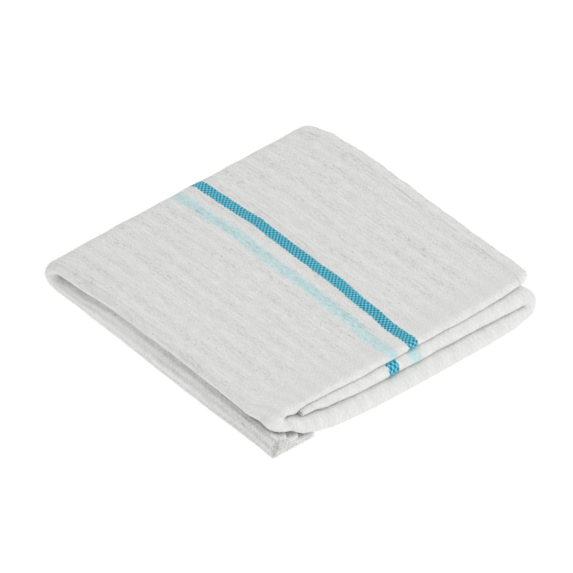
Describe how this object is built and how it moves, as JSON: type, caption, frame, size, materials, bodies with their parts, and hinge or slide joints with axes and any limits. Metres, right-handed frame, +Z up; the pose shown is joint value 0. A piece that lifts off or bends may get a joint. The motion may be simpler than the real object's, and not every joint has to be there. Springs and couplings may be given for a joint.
{
  "type": "folded floor cloth",
  "caption": "Dry, coarse cotton floor cloth folded in half, in thirds and in half again into a nearly square pack, with two woven stripes along it",
  "frame": {"origin": "on the floor below the middle of the pack", "axes": "+X from the last fold's rounded spine to the end with the first fold's bends, +Y from the wrapped side to the side with the free selvedge, +Z up"},
  "size_m": [0.1854, 0.1749, 0.0252],
  "materials": {
    "cotton": "coarse undyed weave, matt"
  },
  "bodies": {
    "root": {"cloth": "cotton"}
  },
  "joints": []
}
